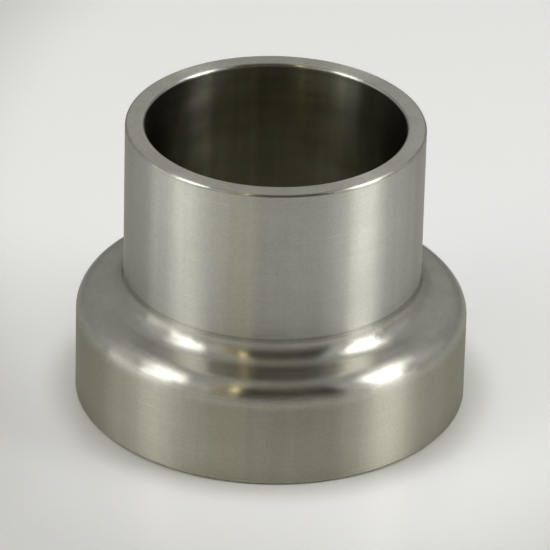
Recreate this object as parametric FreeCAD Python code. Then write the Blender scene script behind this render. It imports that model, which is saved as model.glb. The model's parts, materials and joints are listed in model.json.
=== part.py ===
"""Butt weld adapter, turned from one stainless steel bar.

A thin-walled neck of the tube size stands on a thicker collar of the pipe size. A tube is welded
to the neck's end face, and a pipe to the collar's. The adapter stands on its pipe end, with the
origin at the centre of that face and +Z along the bore towards the tube end. Lengths are in
millimetres.
"""

import FreeCAD, Part
import math
import os

# Driving sizes
TUBE_OUTER_DIAMETER = 25.4  # 1 in tube
TUBE_WALL = 1.65  # 16 gauge
PIPE_OUTER_DIAMETER = 33.4  # 1 in pipe
PIPE_WALL = 2.77  # schedule 10
OVERALL_LENGTH = 25.4
COLLAR_LENGTH = 9.2  # from the pipe end to where the shoulder's slope would meet the collar's wall
SHOULDER_SLOPE = 9.0  # degrees, falling outwards
SHOULDER_RADIUS = 1.9
NECK_FILLET_RADIUS = 1.75
NECK_RELIEF_ANGLE = 12.0  # degrees, by which the fillet cuts in under the neck's surface
BORE_TAPER_ANGLE = 30.0  # degrees, between the taper inside and the axis
BORE_BLEND_RADIUS = 0.5
TUBE_END_EDGE_RADIUS = 0.3
PIPE_END_EDGE_RADIUS = 0.3

FULL_TURN = 360.0
RIGHT_ANGLE = 90.0
SHORTEST_EDGE = 1e-6


def fillet_reach(radius, void_angle):
    """How far from its corner a tangent arc starts, where the two sides open by an angle in degrees."""
    return radius / math.tan(math.radians(void_angle) / 2)


def profile_corners():
    """The half section's corners as (radius, height, radius of the arc), from the pipe end round to the bore."""
    tube_radius = TUBE_OUTER_DIAMETER / 2
    pipe_radius = PIPE_OUTER_DIAMETER / 2
    tube_bore = tube_radius - TUBE_WALL
    pipe_bore = pipe_radius - PIPE_WALL

    # The fillet starts at a crease on the neck and dips in under the neck's surface to its root
    relief = math.radians(NECK_RELIEF_ANGLE)
    slope = math.tan(math.radians(SHOULDER_SLOPE))
    reach = fillet_reach(NECK_FILLET_RADIUS, RIGHT_ANGLE + SHOULDER_SLOPE - NECK_RELIEF_ANGLE)
    root_radius = tube_radius - reach * math.sin(relief)
    root_height = COLLAR_LENGTH + (pipe_radius - root_radius) * slope
    crease_height = root_height + reach * math.cos(relief)

    # The taper inside ends level with the fillet's root, so that the wall stays full under it
    taper_length = (pipe_bore - tube_bore) / math.tan(math.radians(BORE_TAPER_ANGLE))
    taper_foot = root_height - taper_length

    return [
        (pipe_bore, 0.0, PIPE_END_EDGE_RADIUS),
        (pipe_radius, 0.0, PIPE_END_EDGE_RADIUS),
        (pipe_radius, COLLAR_LENGTH, SHOULDER_RADIUS),
        (root_radius, root_height, NECK_FILLET_RADIUS),
        (tube_radius, crease_height, 0.0),
        (tube_radius, OVERALL_LENGTH, TUBE_END_EDGE_RADIUS),
        (tube_bore, OVERALL_LENGTH, TUBE_END_EDGE_RADIUS),
        (tube_bore, root_height, BORE_BLEND_RADIUS),
        (pipe_bore, taper_foot, BORE_BLEND_RADIUS),
    ]


def corner_arc(point, backward, forward, reach):
    """The start, the end and the edge of a corner's tangent arc, which takes reach off each side."""
    start = point + backward * reach
    end = point + forward * reach
    if (end - start).Length < SHORTEST_EDGE:
        return start, end, None

    half_angle = forward.getAngle(backward) / 2
    radius = reach * math.tan(half_angle)
    inward = (backward + forward).normalize()
    middle = point + inward * (radius / math.sin(half_angle) - radius)
    return start, end, Part.Arc(start, middle, end).toShape()


def rounded_wire(corners):
    """A closed wire in the XZ plane through the corners, each rounded by its tangent arc.

    Where two corners ask for more of the side between them than it has, they share it in proportion.
    """
    points = [FreeCAD.Vector(radius, 0, height) for radius, height, _ in corners]
    count = len(points)
    to_next = [points[(i + 1) % count] - points[i] for i in range(count)]
    lengths = [side.Length for side in to_next]
    directions = [FreeCAD.Vector(side).normalize() for side in to_next]

    # The length of side that each corner's arc asks for
    asked = []
    for i, (_, _, arc_radius) in enumerate(corners):
        half_angle = directions[i].getAngle(directions[i - 1] * -1) / 2
        asked.append(arc_radius / math.tan(half_angle))

    arcs = []
    for i in range(count):
        before = asked[i - 1] + asked[i]
        after = asked[i] + asked[(i + 1) % count]
        share_before = min(1.0, lengths[i - 1] / max(before, SHORTEST_EDGE))
        share_after = min(1.0, lengths[i] / max(after, SHORTEST_EDGE))
        reach = asked[i] * min(share_before, share_after)
        arcs.append(corner_arc(points[i], directions[i - 1] * -1, directions[i], reach))

    edges = []
    for i, (_, end, edge) in enumerate(arcs):
        if edge:
            edges.append(edge)
        next_start = arcs[(i + 1) % count][0]
        if (next_start - end).Length > SHORTEST_EDGE:
            edges.append(Part.LineSegment(end, next_start).toShape())
    return Part.Wire(edges)


def adapter_body():
    """The turned body, made by revolving its half section about the bore's axis."""
    section = Part.Face(rounded_wire(profile_corners()))
    return section.revolve(FreeCAD.Vector(0, 0, 0), FreeCAD.Vector(0, 0, 1), FULL_TURN)


def main():
    os.makedirs("parts", exist_ok=True)
    body = adapter_body()
    body.exportStep("parts/adapter_body.step")
    print("adapter_body", body.ShapeType, "valid", body.isValid(), "volume mm3", round(body.Volume, 2))
    for radius, height, arc_radius in profile_corners():
        print(f"corner at radius {radius:.3f} height {height:.3f} arc {arc_radius:.2f}")


main()
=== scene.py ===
"""Butt weld adapter: its finish, the studio and the camera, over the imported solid.

The body is spun again from its half section, finely enough for clean reflections, and stands for the
solid. Lengths are in metres. The origin is the centre of the pipe end's face, +Z runs along the bore
towards the tube end, and the camera stands towards -Y.
"""

import json
import math

import bmesh
import bpy
from bpy.props import FloatProperty, FloatVectorProperty, IntProperty, PointerProperty
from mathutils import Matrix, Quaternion, Vector


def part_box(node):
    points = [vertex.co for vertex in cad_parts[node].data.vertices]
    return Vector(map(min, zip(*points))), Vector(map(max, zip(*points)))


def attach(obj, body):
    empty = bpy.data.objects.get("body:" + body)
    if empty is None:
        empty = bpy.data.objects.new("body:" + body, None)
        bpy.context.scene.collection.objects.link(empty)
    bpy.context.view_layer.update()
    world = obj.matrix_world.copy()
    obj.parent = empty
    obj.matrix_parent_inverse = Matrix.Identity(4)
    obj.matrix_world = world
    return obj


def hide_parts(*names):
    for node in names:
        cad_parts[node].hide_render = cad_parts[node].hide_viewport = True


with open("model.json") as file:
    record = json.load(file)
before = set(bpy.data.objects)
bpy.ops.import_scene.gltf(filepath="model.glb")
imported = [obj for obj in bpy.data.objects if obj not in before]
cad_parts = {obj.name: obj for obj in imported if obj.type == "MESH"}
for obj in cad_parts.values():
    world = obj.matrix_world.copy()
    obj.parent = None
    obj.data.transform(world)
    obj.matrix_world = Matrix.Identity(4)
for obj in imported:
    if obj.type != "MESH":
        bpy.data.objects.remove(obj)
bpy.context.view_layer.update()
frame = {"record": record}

bl_info = {
    "name": "Butt Weld Adapter",
    "version": (1, 0, 0),
    "blender": (4, 5, 0),
    "location": "3D View > Sidebar > Adapter",
    "description": "A turned stainless steel adapter with its finish, its studio and its camera",
    "category": "Object",
}

MILLIMETRE = 0.001
CAD_NODE = "adapter_body"
OVERALL_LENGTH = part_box(CAD_NODE)[1][2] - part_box(CAD_NODE)[0][2]


def mount_radius(name):
    """The radius of one of the record's round mounts, in metres."""
    for mount in frame["record"]["mounts"]:
        if mount["name"] == name:
            return mount["dims"]["r_mm"] * MILLIMETRE
    raise ValueError(f"The record has no mount called {name}")


def length_property(name, description, default):
    """A length in metres that the sidebar shows as a distance."""
    return FloatProperty(
        name=name, description=description, default=default, unit="LENGTH", subtype="DISTANCE"
    )


def angle_property(name, description, degrees):
    """An angle given in degrees and kept in radians."""
    return FloatProperty(
        name=name, description=description, default=math.radians(degrees), subtype="ANGLE"
    )


def share_property(name, description, default):
    """A number from 0 to 1."""
    return FloatProperty(
        name=name, description=description, default=default, min=0.0, max=1.0, subtype="FACTOR"
    )


def colour_property(name, description, default):
    """A linear colour."""
    return FloatVectorProperty(
        name=name, description=description, default=default, size=3, min=0.0, max=1.0, subtype="COLOR"
    )


class AdapterShape(bpy.types.PropertyGroup):
    """The adapter's half section."""

    tube_radius: length_property(
        "Tube end radius", "Outside radius of the neck", mount_radius("tube_end_od")
    )
    pipe_radius: length_property(
        "Pipe end radius", "Outside radius of the collar", mount_radius("pipe_end_od")
    )
    tube_bore: length_property(
        "Tube bore radius", "Radius of the bore in the neck", mount_radius("tube_bore")
    )
    pipe_bore: length_property(
        "Pipe bore radius", "Radius of the bore in the collar", mount_radius("pipe_bore")
    )
    length: length_property("Length", "From the pipe end's face to the tube end's", OVERALL_LENGTH)
    collar_length: length_property(
        "Collar length",
        "From the pipe end to where the shoulder's slope would meet the collar's wall",
        0.0092,
    )
    shoulder_slope: angle_property("Shoulder slope", "How much the shoulder falls outwards", 9.0)
    shoulder_radius: length_property("Shoulder radius", "Radius of the round above the collar", 0.0019)
    fillet_radius: length_property("Fillet radius", "Radius of the fillet at the neck's foot", 0.00175)
    relief_angle: angle_property(
        "Relief angle", "How much the fillet cuts in under the neck's wall", 12.0
    )
    taper_angle: angle_property("Taper angle", "Between the taper inside and the axis", 30.0)
    blend_radius: length_property(
        "Bore blend radius", "Radius of the rounds at the taper's two ends", 0.0005
    )
    tube_end_radius: length_property(
        "Tube end edge radius", "Radius of the tube end's two edges", 0.0003
    )
    pipe_end_radius: length_property(
        "Pipe end edge radius", "Radius of the pipe end's two edges", 0.0003
    )
    turns: IntProperty(
        name="Steps round", description="Faces round the bore's axis", default=288, min=32
    )


class AdapterFinish(bpy.types.PropertyGroup):
    """The turned steel's colour and finish."""

    # The neck's colour is lighter than the polished steel's, as painted light from the bright floor
    # that its wall mirrors
    steel_neck_painted_light: colour_property(
        "Steel, neck", "Colour of the neck's satin wall", (0.6, 0.591, 0.536)
    )
    steel_polished: colour_property(
        "Steel, polished", "Colour of the bright rounds and the edges", (0.53, 0.517, 0.46)
    )
    # The collar's colour is darker than the neck's, as painted shade from the shadowed floor near its
    # foot that its wall mirrors
    steel_collar_painted_shade: colour_property(
        "Steel, collar", "Colour of the collar's duller wall", (0.434, 0.421, 0.344)
    )
    steel_bore: colour_property("Steel, bore", "Colour of the bore", (0.46, 0.445, 0.355))
    satin_roughness: share_property(
        "Satin roughness", "Roughness of the neck's straight wall", 0.32
    )
    collar_roughness: share_property(
        "Collar roughness", "Roughness of the collar's straight wall", 0.36
    )
    polished_roughness: share_property(
        "Polished roughness", "Roughness of the fillet, the shoulder and the edges", 0.235
    )
    faced_roughness: share_property("Faced roughness", "Roughness of the two end faces", 0.26)
    bore_roughness: share_property("Bore roughness", "Roughness of the bore", 0.19)
    brushing: share_property("Brushing", "How far the turning lines stretch a reflection", 1.0)
    groove_pitch: length_property("Groove pitch", "Width of the finest turning lines", 0.0001)
    groove_run: length_property("Groove run", "How far a turning line runs round the part", 0.003)


class AdapterStudio(bpy.types.PropertyGroup):
    """The floor, the light and the camera."""

    floor: colour_property("Floor", "Colour of the floor", (0.93, 0.93, 0.91))
    surround: colour_property("Surround", "Colour of the room", (0.39, 0.39, 0.38))
    dark_end: colour_property(
        "Dark end", "Colour of the unlit end of the room, behind the camera", (0.026, 0.022, 0.014)
    )
    left_level: FloatProperty(
        name="Left level", description="Brightness of the left softboxes", default=2.9
    )
    right_level: FloatProperty(
        name="Right level", description="Brightness of the right softboxes", default=3.7
    )
    camera_distance: length_property(
        "Camera distance", "From the camera to what it looks at", 0.4965
    )
    camera_elevation: angle_property(
        "Camera elevation", "Height of the camera above the horizon", 29.178
    )
    camera_roll: angle_property("Camera roll", "Turn of the camera about its own axis", 1.466)
    camera_lens: FloatProperty(
        name="Lens", description="Focal length in millimetres on a 36 mm sensor", default=381.27
    )


# The half section and the body

DEGREES_PER_SEGMENT = 4
FEWEST_SEGMENTS = 6
MERGE_DISTANCE = 1e-7
SHARP_ANGLE = math.radians(9)


def corner_reach(radius, opening):
    """How much of each side an arc takes at a corner whose sides open by that angle."""
    return radius / math.tan(opening / 2)


def half_section(shape):
    """The half section's corners by name, each as (radius, height, radius of its arc).

    They go round from the pipe end's bore.
    """
    slope = math.tan(shape.shoulder_slope)
    opening = math.radians(90) + shape.shoulder_slope - shape.relief_angle
    reach = corner_reach(shape.fillet_radius, opening)
    root_radius = shape.tube_radius - reach * math.sin(shape.relief_angle)
    root_height = shape.collar_length + (shape.pipe_radius - root_radius) * slope
    crease_height = root_height + reach * math.cos(shape.relief_angle)
    taper_foot = root_height - (shape.pipe_bore - shape.tube_bore) / math.tan(shape.taper_angle)
    return {
        "pipe end, inside": (shape.pipe_bore, 0.0, shape.pipe_end_radius),
        "pipe end, outside": (shape.pipe_radius, 0.0, shape.pipe_end_radius),
        "shoulder": (shape.pipe_radius, shape.collar_length, shape.shoulder_radius),
        "fillet": (root_radius, root_height, shape.fillet_radius),
        "crease": (shape.tube_radius, crease_height, 0.0),
        "tube end, outside": (shape.tube_radius, shape.length, shape.tube_end_radius),
        "tube end, inside": (shape.tube_bore, shape.length, shape.tube_end_radius),
        "taper's top": (shape.tube_bore, root_height, shape.blend_radius),
        "taper's foot": (shape.pipe_bore, taper_foot, shape.blend_radius),
    }


def rounded_section(shape):
    """A bmesh of the half section as one face in the XZ plane, with an arc at each corner."""
    corners = list(half_section(shape).values())
    places = [Vector((radius, 0.0, height)) for radius, height, _ in corners]
    section = bmesh.new()
    points = [section.verts.new(corner) for corner in places]
    section.faces.new(points)

    for i, (_, _, arc_radius) in enumerate(corners):
        if arc_radius == 0.0:
            continue
        backward = places[i - 1] - places[i]
        forward = places[(i + 1) % len(places)] - places[i]
        opening = backward.angle(forward)
        turned = math.degrees(math.pi - opening)
        bmesh.ops.bevel(
            section,
            geom=[points[i]],
            offset=corner_reach(arc_radius, opening),
            offset_type="OFFSET",
            segments=max(FEWEST_SEGMENTS, round(turned / DEGREES_PER_SEGMENT)),
            profile=0.5,
            affect="VERTICES",
            material=-1,
            clamp_overlap=False,
        )
    bmesh.ops.remove_doubles(section, verts=section.verts, dist=MERGE_DISTANCE)
    return section


def spun_body(shape):
    """A bmesh of the whole body, spun from its half section, with the neck's crease left sharp."""
    body = rounded_section(shape)
    bmesh.ops.delete(body, geom=body.faces[:], context="FACES_ONLY")
    bmesh.ops.spin(
        body,
        geom=body.verts[:] + body.edges[:],
        cent=(0.0, 0.0, 0.0),
        axis=(0.0, 0.0, 1.0),
        angle=math.tau,
        steps=shape.turns,
        use_merge=True,
        use_duplicate=False,
    )
    bmesh.ops.remove_doubles(body, verts=body.verts, dist=MERGE_DISTANCE)
    bmesh.ops.recalc_face_normals(body, faces=body.faces)
    for face in body.faces:
        face.smooth = True
    for edge in body.edges:
        edge.smooth = edge.calc_face_angle(0.0) < SHARP_ANGLE
    return body


def finished_object(context, name, shape, material):
    """An object in the scene, made of a bmesh and a material. The bmesh is freed."""
    mesh = bpy.data.meshes.new(name)
    shape.to_mesh(mesh)
    shape.free()
    mesh.materials.append(material)
    obj = bpy.data.objects.new(name, mesh)
    context.collection.objects.link(obj)
    return obj


# Nodes


def opaque(colour):
    """The colour with an alpha of 1, as a colour socket takes it."""
    return (*colour, 1.0)


def scaled(colour, factor):
    """The colour with each channel multiplied."""
    return tuple(channel * factor for channel in colour)


def new_material(name):
    """A material that has only its Principled BSDF: (material, node tree, shader)."""
    material = bpy.data.materials.new(name)
    material.use_nodes = True
    return material, material.node_tree, material.node_tree.nodes["Principled BSDF"]


def place(tree, kind, **settings):
    """A new node of that kind with its settings made."""
    node = tree.nodes.new(kind)
    for name, value in settings.items():
        setattr(node, name, value)
    return node


def feed(tree, socket, value):
    """Links the input from an output, or sets it to a plain value."""
    if isinstance(value, bpy.types.NodeSocket):
        tree.links.new(value, socket)
    else:
        socket.default_value = value


def calculate(tree, operation, *values):
    """The output of a Math node that works on the values."""
    node = place(tree, "ShaderNodeMath", operation=operation)
    for socket, value in zip(node.inputs, values):
        feed(tree, socket, value)
    return node.outputs["Value"]


def product(tree, first, *others):
    """All the values multiplied together."""
    result = first
    for value in others:
        result = calculate(tree, "MULTIPLY", result, value)
    return result


def opposite(tree, mask):
    """A mask that is 1 where the given one is 0."""
    return calculate(tree, "SUBTRACT", 1.0, mask)


def ramp(tree, value, start, end, low=0.0, high=1.0, interpolation="SMOOTHSTEP"):
    """Goes from low to high as the value goes from start to end, and stays there beyond them."""
    node = place(tree, "ShaderNodeMapRange", interpolation_type=interpolation)
    feed(tree, node.inputs["Value"], value)
    feed(tree, node.inputs["From Min"], start)
    feed(tree, node.inputs["From Max"], end)
    feed(tree, node.inputs["To Min"], low)
    feed(tree, node.inputs["To Max"], high)
    return node.outputs["Result"]


def mix_colours(tree, share, first, second):
    """The first colour going over to the second as the share goes from 0 to 1."""
    node = place(tree, "ShaderNodeMix", data_type="RGBA")
    feed(tree, node.inputs["Factor"], share)
    feed(tree, node.inputs["A"], first)
    feed(tree, node.inputs["B"], second)
    return node.outputs["Result"]


def object_place(tree):
    """Where a point lies on the object."""
    return place(tree, "ShaderNodeTexCoord").outputs["Object"]


def moved(tree, vector, scale=(1.0, 1.0, 1.0), shift=(0.0, 0.0, 0.0)):
    """The vector scaled, and then shifted."""
    node = place(tree, "ShaderNodeMapping")
    feed(tree, node.inputs["Vector"], vector)
    feed(tree, node.inputs["Scale"], scale)
    feed(tree, node.inputs["Location"], shift)
    return node.outputs["Vector"]


def vector_math(tree, operation, *values, output="Vector"):
    """An output of a Vector Math node that works on the values."""
    node = place(tree, "ShaderNodeVectorMath", operation=operation)
    for socket, value in zip(node.inputs, values):
        feed(tree, socket, value)
    return node.outputs[output]


def speckle(tree, vector, scale, detail):
    """Plain noise from 0 to 1, mostly near 0.5."""
    node = place(tree, "ShaderNodeTexNoise")
    feed(tree, node.inputs["Vector"], vector)
    feed(tree, node.inputs["Scale"], scale)
    feed(tree, node.inputs["Detail"], detail)
    return node.outputs["Fac"]


def new_group(name, inputs, outputs):
    """A shader node group with those sockets: (group, what it is given, where its results go)."""
    group = bpy.data.node_groups.new(name, "ShaderNodeTree")
    for socket_name, default in inputs.items():
        socket = group.interface.new_socket(
            name=socket_name, in_out="INPUT", socket_type="NodeSocketFloat"
        )
        socket.default_value = default
    for socket_name in outputs:
        group.interface.new_socket(name=socket_name, in_out="OUTPUT", socket_type="NodeSocketFloat")
    given = group.nodes.new("NodeGroupInput").outputs
    result = group.nodes.new("NodeGroupOutput").inputs
    return group, given, result


def use_group(tree, group, **values):
    """The outputs of a group placed in a tree. An input's name has underscores for its spaces."""
    node = place(tree, "ShaderNodeGroup", node_tree=group)
    for name, value in values.items():
        feed(tree, node.inputs[name.replace("_", " ").capitalize()], value)
    return node.outputs


# The turned steel

# How far from an end the faced finish and the burnished edge fade out, in metres
FACE_INNER = 0.00001
FACE_OUTER = 0.00004
EDGE_INNER = 0.0003
EDGE_OUTER = 0.0004

# How far from where the shoulder's round starts the polish comes in, in metres
BELOW_SHOULDER = 0.0006
ABOVE_SHOULDER = 0.0011

# How far from the crease the polish, the crease's painted dark line of shade and the neck's foot,
# which is painted darker as painted shade, reach, in metres
BELOW_CREASE = 0.0007
CREASE_INNER = 0.00003
CREASE_OUTER = 0.00012
NECK_FOOT = 0.012

# The part of a pattern's noise over which it takes effect
LINES_RANGE = (0.3, 0.7)
PATTERN_RANGE = (0.35, 0.65)
MARKS_RANGE = (0.66, 0.72)
MASK_RANGE = (0.0, 1.0)

# What the steel's colour is multiplied by at the two ends of that range
FINE_SHADE = (0.975, 1.025)
BROAD_SHADE = (0.985, 1.015)
SMUDGE_SHADE = (0.975, 1.025)
GRAIN_SHADE = (0.96, 1.04)
DRAWN_SHADE = (0.97, 1.03)
# The crease is painted darker, as painted shade in its corner
CREASE_PAINTED_SHADE = (1.0, 0.8)
# The neck's satin wall is painted darker towards its foot, as painted shade
NECK_FOOT_PAINTED_SHADE = (1.0, 0.87)
MARKS_SHADE = (1.0, 1.1)
# The faced ends are painted lighter than the polished steel, as painted light on the rim face
FACED_PAINTED_LIGHT = 1.3

# What is added to the bore's shade and to the roughness at the two ends
BORE_STREAKS = (-0.05, 0.05)
BROAD_ROUGHNESS = (-0.015, 0.015)
SMUDGE_ROUGHNESS = (-0.02, 0.02)

# How many times the finest lines' pitch and run
BROAD_LINES = (12, 4)
MARK_LINES = (3, 3)

SMUDGE_SCALE = 160.0
SMUDGE_DETAIL = 3.0
GRAIN_SCALE = 5000.0
GRAIN_DETAIL = 2.0
DRAWN_SCALE = (700.0, 700.0, 25.0)
DRAWN_DETAIL = 2.0

RELIEF_STRENGTH = 0.3
RELIEF_DEPTH = 0.000004
RELIEF_LEFT_BY_POLISHING = (1.0, 0.3)
GLANCING_TINT = (0.58, 0.58, 0.57)
QUARTER_TURN = 0.25


def turned_place(tree):
    """Where a point lies on a turned part: (x, y, radius, height, distance along its half section)."""
    axes = place(tree, "ShaderNodeSeparateXYZ")
    feed(tree, axes.inputs["Vector"], object_place(tree))
    x, y, height = axes.outputs
    squares = calculate(tree, "ADD", product(tree, x, x), product(tree, y, y))
    radius = calculate(tree, "SQRT", squares)
    return x, y, radius, height, calculate(tree, "SUBTRACT", height, radius)


def lines_group():
    """Turning lines: noise that is drawn out round the axis.

    Pitch is across the lines and Run along them.
    """
    group, given, result = new_group(
        "Turning lines", {"Pitch": 0.0001, "Run": 0.006, "Detail": 3.0, "Seed": 0.0}, ["Height"]
    )
    x, y, _, _, along = turned_place(group)
    stretched = place(group, "ShaderNodeCombineXYZ")
    feed(group, stretched.inputs["X"], calculate(group, "DIVIDE", x, given["Run"]))
    feed(group, stretched.inputs["Y"], calculate(group, "DIVIDE", y, given["Run"]))
    feed(group, stretched.inputs["Z"], calculate(group, "DIVIDE", along, given["Pitch"]))
    noise = place(group, "ShaderNodeTexNoise", noise_dimensions="4D")
    feed(group, noise.inputs["Vector"], stretched.outputs["Vector"])
    feed(group, noise.inputs["W"], given["Seed"])
    feed(group, noise.inputs["Scale"], 1.0)
    feed(group, noise.inputs["Detail"], given["Detail"])
    feed(group, result["Height"], noise.outputs["Fac"])
    return group


def zones_group():
    """Where the part is polished, faced or bored: masks from 0 to 1, read from radius and height."""
    group, given, result = new_group(
        "Turned zones",
        {
            "Shoulder height": 0.0076,
            "Crease height": 0.0117,
            "Length": 0.0254,
            "Tube wall middle": 0.0119,
            "Pipe wall middle": 0.0153,
            "Taper foot": 0.0049,
        },
        ["Collar", "Polished", "Burnished", "Faced", "Bored", "Crease", "Neck foot"],
    )
    _, _, radius, height, _ = turned_place(group)
    crease = given["Crease height"]
    shoulder = given["Shoulder height"]

    # The bore lies inside the middle of the wall, which moves inwards up the taper
    wall_middle = ramp(
        group,
        height,
        given["Taper foot"],
        crease,
        given["Pipe wall middle"],
        given["Tube wall middle"],
        interpolation="LINEAR",
    )
    inside = calculate(group, "LESS_THAN", radius, wall_middle)
    outside = opposite(group, inside)

    # The two ends, with their faces and their rounded edges
    below_top = calculate(group, "SUBTRACT", given["Length"], height)
    near_end = calculate(group, "MINIMUM", below_top, height)
    faced = ramp(group, near_end, FACE_OUTER, FACE_INNER)
    edges = product(group, ramp(group, near_end, EDGE_OUTER, EDGE_INNER), opposite(group, faced))
    feed(group, result["Faced"], faced)
    feed(group, result["Burnished"], edges)
    feed(group, result["Bored"], product(group, inside, ramp(group, near_end, EDGE_INNER, EDGE_OUTER)))

    # The outside, from the collar up to the neck
    above_shoulder = ramp(
        group,
        height,
        calculate(group, "SUBTRACT", shoulder, BELOW_SHOULDER),
        calculate(group, "ADD", shoulder, ABOVE_SHOULDER),
    )
    below_crease = ramp(group, height, crease, calculate(group, "SUBTRACT", crease, BELOW_CREASE))
    # How near a point is to the neck's foot, where the colour paints shade
    neck_foot = ramp(group, height, calculate(group, "ADD", crease, NECK_FOOT), crease)
    from_crease = calculate(group, "ABSOLUTE", calculate(group, "SUBTRACT", height, crease))
    # A narrow band at the crease, which the colour darkens as painted shade
    crease_shade_band = ramp(group, from_crease, CREASE_OUTER, CREASE_INNER)
    feed(group, result["Collar"], product(group, opposite(group, above_shoulder), outside))
    feed(group, result["Polished"], product(group, above_shoulder, below_crease, outside))
    feed(group, result["Neck foot"], product(group, neck_foot, outside))
    feed(group, result["Crease"], product(group, crease_shade_band, outside))
    return group


def steel_zones(tree, shape):
    """The masks of this adapter's finishes."""
    corners = half_section(shape)
    opening = math.radians(90) + shape.shoulder_slope
    _, crease_height, _ = corners["crease"]
    _, taper_foot, _ = corners["taper's foot"]
    return use_group(
        tree,
        zones_group(),
        shoulder_height=shape.collar_length - corner_reach(shape.shoulder_radius, opening),
        crease_height=crease_height,
        length=shape.length,
        tube_wall_middle=(shape.tube_radius + shape.tube_bore) / 2,
        pipe_wall_middle=(shape.pipe_radius + shape.pipe_bore) / 2,
        taper_foot=taper_foot,
    )


def steel_patterns(tree, finish):
    """The noise that the colour, the roughness and the relief share, by name."""
    lines = lines_group()
    patterns = {}
    for name, (pitches, runs), seed in (
        ("fine", (1, 1), 1.0),
        ("broad", BROAD_LINES, 2.0),
        ("marks", MARK_LINES, 3.0),
    ):
        drawn_round = use_group(
            tree, lines, pitch=finish.groove_pitch * pitches, run=finish.groove_run * runs, seed=seed
        )
        patterns[name] = drawn_round["Height"]
    spot = object_place(tree)
    patterns["smudges"] = speckle(tree, spot, SMUDGE_SCALE, SMUDGE_DETAIL)
    patterns["grain"] = speckle(tree, spot, GRAIN_SCALE, GRAIN_DETAIL)
    patterns["drawn"] = speckle(tree, moved(tree, spot, scale=DRAWN_SCALE), 1.0, DRAWN_DETAIL)
    return patterns


def steel_colour(tree, finish, zones, patterns):
    """The colour of each zone, with what the turning and the handling have left on it, and painted
    light and shade: the neck lighter, the collar darker, the faced ends lighter, and painted shade at
    the crease and the neck's foot.
    """
    steel = opaque(finish.steel_neck_painted_light)
    for zone, colour in (
        ("Polished", finish.steel_polished),
        ("Burnished", finish.steel_polished),
        ("Faced", scaled(finish.steel_polished, FACED_PAINTED_LIGHT)),
        ("Collar", finish.steel_collar_painted_shade),
        ("Bored", finish.steel_bore),
    ):
        steel = mix_colours(tree, zones[zone], steel, opaque(colour))

    # The neck's satin wall is painted darker towards its foot, as painted shade
    neck_foot_painted_shade = product(
        tree, zones["Neck foot"], opposite(tree, zones["Polished"]), opposite(tree, zones["Collar"])
    )
    shade = ramp(tree, patterns["fine"], *LINES_RANGE, *FINE_SHADE)
    for value, span, effect in (
        (patterns["broad"], PATTERN_RANGE, BROAD_SHADE),
        (patterns["smudges"], PATTERN_RANGE, SMUDGE_SHADE),
        (patterns["grain"], PATTERN_RANGE, GRAIN_SHADE),
        (patterns["drawn"], PATTERN_RANGE, DRAWN_SHADE),
        (zones["Crease"], MASK_RANGE, CREASE_PAINTED_SHADE),
        (neck_foot_painted_shade, MASK_RANGE, NECK_FOOT_PAINTED_SHADE),
    ):
        shade = product(tree, shade, ramp(tree, value, *span, *effect))

    streaks = ramp(tree, patterns["drawn"], *PATTERN_RANGE, *BORE_STREAKS)
    shade = calculate(tree, "ADD", shade, product(tree, zones["Bored"], streaks))
    marks = product(tree, ramp(tree, patterns["marks"], *MARKS_RANGE), opposite(tree, zones["Bored"]))
    shade = product(tree, shade, ramp(tree, marks, *MASK_RANGE, *MARKS_SHADE))

    shaded = place(tree, "ShaderNodeVectorMath", operation="SCALE")
    feed(tree, shaded.inputs["Vector"], steel)
    feed(tree, shaded.inputs["Scale"], shade)
    return shaded.outputs["Vector"]


def steel_roughness(tree, finish, zones, patterns):
    """The roughness of each zone, a little uneven."""
    satin = finish.satin_roughness
    roughness = satin
    for zone, level in (
        ("Collar", finish.collar_roughness),
        ("Polished", finish.polished_roughness),
        ("Burnished", finish.polished_roughness),
        ("Faced", finish.faced_roughness),
        ("Bored", finish.bore_roughness),
    ):
        roughness = calculate(tree, "ADD", roughness, product(tree, zones[zone], level - satin))
    uneven = calculate(
        tree,
        "ADD",
        ramp(tree, patterns["broad"], *LINES_RANGE, *BROAD_ROUGHNESS),
        ramp(tree, patterns["smudges"], *PATTERN_RANGE, *SMUDGE_ROUGHNESS),
    )
    return calculate(tree, "ADD", roughness, uneven)


def steel_relief(tree, zones, patterns):
    """The normal over the turning lines, which are shallower where the steel is polished or bored."""
    smoothed = calculate(tree, "ADD", zones["Polished"], zones["Bored"])
    lines = calculate(tree, "ADD", patterns["fine"], patterns["broad"])
    depth = ramp(tree, smoothed, *MASK_RANGE, *RELIEF_LEFT_BY_POLISHING)
    relief = place(tree, "ShaderNodeBump")
    feed(tree, relief.inputs["Strength"], RELIEF_STRENGTH)
    feed(tree, relief.inputs["Distance"], RELIEF_DEPTH)
    feed(tree, relief.inputs["Height"], product(tree, lines, depth))
    return relief.outputs["Normal"]


def turned_steel(shape, finish):
    """Turned stainless steel: satin walls, polished rounds, faced ends and a bored inside."""
    material, tree, shader = new_material("stainless_steel_turned")
    zones = steel_zones(tree, shape)
    patterns = steel_patterns(tree, finish)
    feed(tree, shader.inputs["Base Color"], steel_colour(tree, finish, zones, patterns))
    feed(tree, shader.inputs["Roughness"], steel_roughness(tree, finish, zones, patterns))
    feed(tree, shader.inputs["Normal"], steel_relief(tree, zones, patterns))

    # The lines run round the axis, so a reflection is stretched across them
    around = place(tree, "ShaderNodeTangent", direction_type="RADIAL", axis="Z")
    feed(tree, shader.inputs["Tangent"], around.outputs["Tangent"])
    shader.inputs["Metallic"].default_value = 1.0
    shader.inputs["Specular Tint"].default_value = opaque(GLANCING_TINT)
    shader.inputs["Anisotropic"].default_value = finish.brushing
    shader.inputs["Anisotropic Rotation"].default_value = QUARTER_TURN
    return material


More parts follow.
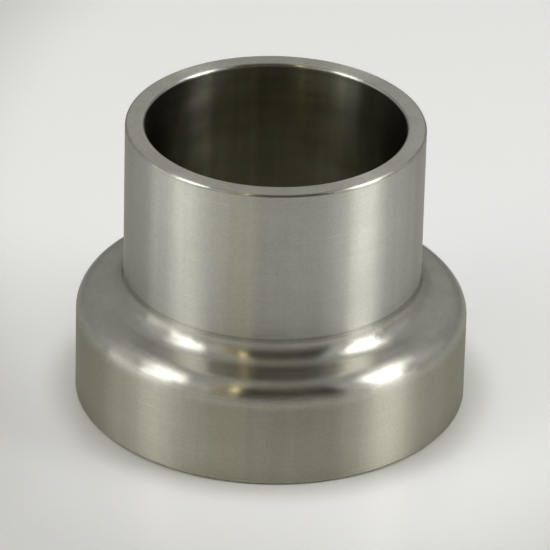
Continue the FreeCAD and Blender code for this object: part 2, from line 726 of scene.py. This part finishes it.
class ADAPTER_OT_body(bpy.types.Operator):
    """Spin the adapter's body and give it its turned finish"""

    bl_idname = "adapter.body"
    bl_label = "Adapter Body"
    bl_options = {"REGISTER", "UNDO"}

    def execute(self, context):
        shape = context.scene.adapter_shape
        steel = turned_steel(shape, context.scene.adapter_finish)
        piece = finished_object(context, "turned_adapter_body", spun_body(shape), steel)
        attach(piece, "root")
        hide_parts(CAD_NODE)
        return {"FINISHED"}


# The studio

WHITE = (1.0, 1.0, 1.0)
AMBER = (1.0, 0.86, 0.5)
WARM = (1.0, 0.88, 0.55)
BLACK = (0.0, 0.0, 0.0)
LAMP_DISTANCE = 0.2

# The floor, in metres. Its paper is painted darker outside the camera's view, as the edge of a painted
# pool of light
FLOOR_RADIUS = 3.0
FLOOR_SEGMENTS = 128
FLOOR_GAP = 0.00001
PAPER_ROUGHNESS = 0.3
PAPER_SPECULAR = 1.0
PAPER_GRAIN_SCALE = 900.0
PAPER_GRAIN_DETAIL = 2.0
PAPER_GRAIN_SHADE = 0.985
# The paper is painted darker away from a point just behind the part: a painted pool of light
FAR_PAINTED_SHADE = 0.5
PAINTED_POOL_SHIFT = (0.0, -0.04, 0.0)
PAINTED_POOL_FADE = (0.11, 0.28)

# The paper's painted glow behind the part, seen by the camera and the steel; it is left out round the
# part's foot, which paints a shadow ring there
GLOW = (0.22, 0.22, 0.225)
GLOW_SCALE = (1.8, 1.0, 1.0)
GLOW_SHIFT = (-0.01, -0.035, 0.0)
GLOW_FADE = (0.078, 0.05)
FOOT_PAINTED_SHADOW = (0.0166, 0.0205)

# The room's dark end, in degrees: the way that it lies, and where it starts and is full
DARK_AZIMUTH = 6
DARK_SIDES = (46, 37)
DARK_FOOT = (-5, 24)
DARK_TOP = (88, 54)

# The camera
CAMERA_TARGET = (0.00024, 0.0, 0.01082)
SENSOR_WIDTH = 36.0
CLIP_START = 0.01
CLIP_END = 20.0


def direction(azimuth, elevation):
    """A unit vector. Azimuth 0 points to the camera's side, -Y, and 90 to +X. Both are in degrees."""
    azimuth = math.radians(azimuth)
    elevation = math.radians(elevation)
    return Vector(
        (
            math.sin(azimuth) * math.cos(elevation),
            -math.cos(azimuth) * math.cos(elevation),
            math.sin(elevation),
        )
    )


def lit_panel(context, name, azimuths, elevations, level, colour):
    """An upright lamp near the adapter that fills those azimuths and elevations, in degrees."""
    middle = sum(azimuths) / 2
    bottom, top = (LAMP_DISTANCE * math.tan(math.radians(elevation)) for elevation in elevations)
    lamp = bpy.data.lights.new(name, "AREA")
    lamp.shape = "RECTANGLE"
    lamp.size = 2 * LAMP_DISTANCE * math.tan(math.radians(abs(azimuths[1] - azimuths[0])) / 2)
    lamp.size_y = top - bottom
    lamp.energy = level * math.pi * lamp.size * lamp.size_y
    lamp.color = colour
    holder = bpy.data.objects.new(name, lamp)
    toward = direction(middle, 0.0)
    holder.location = toward * LAMP_DISTANCE + Vector((0.0, 0.0, (bottom + top) / 2))
    holder.rotation_mode = "QUATERNION"
    holder.rotation_quaternion = toward.to_track_quat("Z", "Y")
    holder.visible_camera = False
    context.collection.objects.link(holder)


def studio_lamps(studio):
    """Each lamp as (name, azimuths, elevations, brightness, colour), with its angles in degrees."""
    left = studio.left_level
    right = studio.right_level
    return (
        ("softbox_left_low", (-75, -57), (14, 28), left * 0.9, WHITE),
        ("softbox_left_middle", (-72, -51.3), (28, 42), left, WHITE),
        ("softbox_left_high", (-93, -60), (43, 56), left * 0.88, WHITE),
        ("softbox_left_flank", (-79, -71), (18, 42), left * 0.25, WHITE),
        ("softbox_left_edge", (-50, -36), (22, 46), 0.24, WHITE),
        ("softbox_left_outer", (-112, -84), (14, 52), 0.18, WHITE),
        ("softbox_left_foot", (-98, -68), (0.5, 12), 1.1, WHITE),
        ("softbox_right_low", (62, 79), (14, 30), right * 0.8, WHITE),
        ("softbox_right_middle", (62, 88), (30, 44), right, WHITE),
        ("softbox_right_high", (64, 108), (42, 56), right * 0.78, WHITE),
        ("softbox_right_edge", (42, 61), (2, 54), 0.27, WHITE),
        ("softbox_right_outer", (90, 116), (14, 52), 0.2, WHITE),
        ("softbox_right_foot", (56, 86), (0.5, 12), 0.8, WHITE),
        ("softbox_right_back", (140, 178), (18, 48), 0.07, WHITE),
        ("warm_lamp", (-24.3, -20), (39.5, 51), 2.9, AMBER),
        ("warm_wall", (-37, -17), (12, 75), 0.32, WARM),
        ("warm_ceiling", (-44, 40), (60, 79), 0.12, WARM),
    )


def pale_paper(colour):
    """Pale paper with a fine grain, painted darker far from the part as a painted pool of light, with
    a painted glow behind the part that the camera and the steel see and a painted shadow ring round
    the part's foot.
    """
    material, tree, shader = new_material("pale_paper")
    spot = object_place(tree)
    grain = ramp(tree, speckle(tree, spot, PAPER_GRAIN_SCALE, PAPER_GRAIN_DETAIL), *LINES_RANGE)
    paper = mix_colours(tree, grain, opaque(scaled(colour, PAPER_GRAIN_SHADE)), opaque(colour))
    # The painted pool of light: darker away from a point just behind the part
    from_pool_middle = vector_math(tree, "LENGTH", moved(tree, spot, shift=PAINTED_POOL_SHIFT), output="Value")
    outside_pool = ramp(tree, from_pool_middle, *PAINTED_POOL_FADE)
    paper = mix_colours(tree, outside_pool, paper, opaque(scaled(colour, FAR_PAINTED_SHADE)))
    feed(tree, shader.inputs["Base Color"], paper)

    behind = moved(tree, spot, scale=GLOW_SCALE, shift=GLOW_SHIFT)
    from_behind = vector_math(tree, "LENGTH", behind, output="Value")
    from_axis = vector_math(tree, "LENGTH", spot, output="Value")
    rays = place(tree, "ShaderNodeLightPath").outputs
    mirrored = calculate(tree, "MAXIMUM", rays["Is Glossy Ray"], rays["Is Transmission Ray"])
    seen = calculate(tree, "MAXIMUM", rays["Is Camera Ray"], mirrored)
    # The painted glow, left out near the part's foot as a painted shadow
    glow = product(
        tree, ramp(tree, from_behind, *GLOW_FADE), ramp(tree, from_axis, *FOOT_PAINTED_SHADOW), seen
    )
    feed(tree, shader.inputs["Emission Color"], mix_colours(tree, glow, opaque(BLACK), opaque(GLOW)))
    shader.inputs["Emission Strength"].default_value = 1.0
    shader.inputs["Roughness"].default_value = PAPER_ROUGHNESS
    shader.inputs["Specular IOR Level"].default_value = PAPER_SPECULAR
    return material


def studio_floor(context, colour):
    """A wide pale floor just under the adapter."""
    disc = bmesh.new()
    bmesh.ops.create_circle(disc, cap_ends=True, segments=FLOOR_SEGMENTS, radius=FLOOR_RADIUS)
    bmesh.ops.translate(disc, verts=disc.verts, vec=(0.0, 0.0, -FLOOR_GAP))
    floor = finished_object(context, "studio_floor", disc, pale_paper(colour))


def studio_room(scene, surround, dark_end):
    """The room's own light: an even grey that goes dark behind the camera, nearly up to overhead."""
    world = bpy.data.worlds.new("studio_room")
    world.use_nodes = True
    scene.world = world
    tree = world.node_tree
    outlook = place(tree, "ShaderNodeTexCoord").outputs["Generated"]
    level_part = vector_math(tree, "MULTIPLY", outlook, (1.0, 1.0, 0.0))
    heading = vector_math(tree, "NORMALIZE", level_part)
    facing = vector_math(
        tree, "DOT_PRODUCT", heading, direction(DARK_AZIMUTH, 0), output="Value"
    )
    across = ramp(tree, facing, *(math.cos(math.radians(side)) for side in DARK_SIDES))

    axes = place(tree, "ShaderNodeSeparateXYZ")
    feed(tree, axes.inputs["Vector"], outlook)
    elevation = calculate(tree, "ARCSINE", axes.outputs["Z"])
    above = ramp(tree, elevation, *map(math.radians, DARK_FOOT))
    below = ramp(tree, elevation, *map(math.radians, DARK_TOP))
    dark_share = product(tree, across, product(tree, above, below))
    room = mix_colours(tree, dark_share, opaque(surround), opaque(dark_end))
    background = tree.nodes["Background"]
    feed(tree, background.inputs["Color"], room)
    background.inputs["Strength"].default_value = 1.0


def studio_camera(context, studio):
    """The camera at the photograph's angle, with no shift and no depth of field."""
    camera = bpy.data.cameras.new("studio_camera")
    camera.lens = studio.camera_lens
    camera.sensor_width = SENSOR_WIDTH
    camera.clip_start = CLIP_START
    camera.clip_end = CLIP_END
    toward = direction(0.0, math.degrees(studio.camera_elevation))
    holder = bpy.data.objects.new("studio_camera", camera)
    holder.location = Vector(CAMERA_TARGET) + toward * studio.camera_distance
    holder.rotation_mode = "QUATERNION"
    level = toward.to_track_quat("Z", "Y")
    holder.rotation_quaternion = level @ Quaternion((0.0, 0.0, 1.0), studio.camera_roll)
    context.collection.objects.link(holder)
    context.scene.camera = holder


class ADAPTER_OT_stage(bpy.types.Operator):
    """Set up the floor, the light and the camera"""

    bl_idname = "adapter.stage"
    bl_label = "Studio"
    bl_options = {"REGISTER", "UNDO"}

    def execute(self, context):
        studio = context.scene.adapter_studio
        studio_floor(context, tuple(studio.floor))
        studio_room(context.scene, tuple(studio.surround), tuple(studio.dark_end))
        for lamp in studio_lamps(studio):
            lit_panel(context, *lamp)
        studio_camera(context, studio)
        context.scene.view_settings.view_transform = "Standard"
        return {"FINISHED"}


class ADAPTER_PT_panel(bpy.types.Panel):
    """The adapter's sizes, finish and studio"""

    bl_idname = "ADAPTER_PT_panel"
    bl_label = "Butt Weld Adapter"
    bl_space_type = "VIEW_3D"
    bl_region_type = "UI"
    bl_category = "Adapter"

    def draw(self, context):
        scene = context.scene
        for settings, operator in (
            (scene.adapter_shape, None),
            (scene.adapter_finish, ADAPTER_OT_body.bl_idname),
            (scene.adapter_studio, ADAPTER_OT_stage.bl_idname),
        ):
            column = self.layout.column()
            for name in settings.bl_rna.properties.keys():
                if name not in ("rna_type", "name"):
                    column.prop(settings, name)
            if operator:
                column.operator(operator)


CLASSES = (
    AdapterShape,
    AdapterFinish,
    AdapterStudio,
    ADAPTER_OT_body,
    ADAPTER_OT_stage,
    ADAPTER_PT_panel,
)


def register():
    for cls in CLASSES:
        bpy.utils.register_class(cls)
    bpy.types.Scene.adapter_shape = PointerProperty(type=AdapterShape)
    bpy.types.Scene.adapter_finish = PointerProperty(type=AdapterFinish)
    bpy.types.Scene.adapter_studio = PointerProperty(type=AdapterStudio)


def unregister():
    del bpy.types.Scene.adapter_studio
    del bpy.types.Scene.adapter_finish
    del bpy.types.Scene.adapter_shape
    for cls in reversed(CLASSES):
        bpy.utils.unregister_class(cls)


def main():
    register()
    bpy.ops.adapter.body()
    bpy.ops.adapter.stage()


if __name__ == "__main__":
    main()
